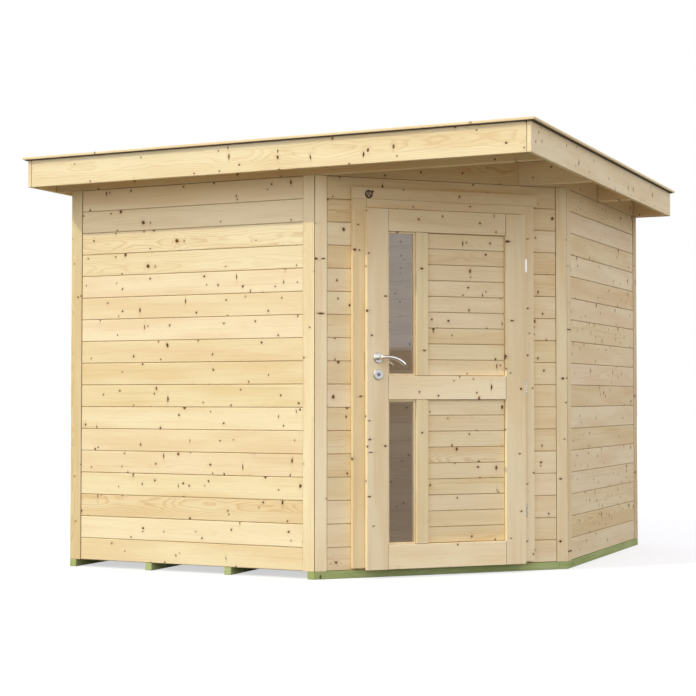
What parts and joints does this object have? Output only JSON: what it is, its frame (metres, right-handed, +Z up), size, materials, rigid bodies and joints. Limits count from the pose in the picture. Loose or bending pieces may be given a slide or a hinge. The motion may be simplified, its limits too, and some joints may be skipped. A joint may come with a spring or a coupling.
{
  "type": "five-cornered garden house with a flat roof",
  "caption": "Wooden garden house on bearers, with board walls, a flat roof and a hinged, part-glazed door across its cut corner, with a sprung lever handle.",
  "frame": {"origin": "on the ground under the middle of the roof, at the underside of the bearers", "axes": "+X along the front wall towards the cut corner, +Y from the front wall to the back wall, +Z up"},
  "size_m": [2.776, 2.714, 2.13],
  "materials": {
    "spruce": "planed, untreated",
    "treated_spruce": "sawn, green pressure treatment",
    "roof_felt": "mineral-sanded bitumen felt",
    "glass": "clear",
    "steel": "satin stainless"
  },
  "bodies": {
    "house": {"floor_bearers": "treated_spruce", "corner_bearer": "treated_spruce", "floor_boards": "spruce", "front_left_post": "spruce", "back_left_post": "spruce", "back_right_post": "spruce", "front_corner_post": "spruce", "side_corner_post": "spruce", "front_wall": "spruce", "back_wall": "spruce", "left_wall": "spruce", "right_wall": "spruce", "door_wall_left": "spruce", "door_wall_right": "spruce", "door_wall_head": "spruce", "door_frame_left": "spruce", "door_frame_right": "spruce", "door_frame_head": "spruce", "door_threshold": "spruce", "architrave_left": "spruce", "architrave_right": "spruce", "architrave_head": "spruce", "strike_plate": "steel", "roof_beams": "spruce", "head_boards": "spruce", "roof_deck": "spruce", "roof_felt": "roof_felt", "front_fascia": "spruce", "back_fascia": "spruce", "left_fascia": "spruce", "right_fascia": "spruce", "roof_edge_laths": "spruce", "hinge_frame_halves": "steel"},
    "door": {"door_stile_lock": "spruce", "door_stile_hinge": "spruce", "door_rails": "spruce", "door_mullions": "spruce", "door_panels": "spruce", "door_glass": "glass", "glazing_beads": "spruce", "hinge_leaf_halves": "steel", "handle_rosettes": "steel", "lock_cylinder": "steel"},
    "lever": {"outer_lever": "steel", "inner_lever": "steel"}
  },
  "joints": [
    {"name": "door_hinge", "type": "hinge", "parent": "house", "child": "door", "pos_m": [1.0041, -0.34499, 0.038], "axis": [0, 0, 1], "range_deg": [0, 105]},
    {"name": "lever_turn", "type": "hinge", "parent": "door", "child": "lever", "pos_m": [0.44831, -0.94037, 1.08], "axis": [-0.7071, 0.7071, 0], "range_deg": [0, 40], "stiffness_Nm_per_rad": 1.2, "springref_deg": -34.38}
  ]
}
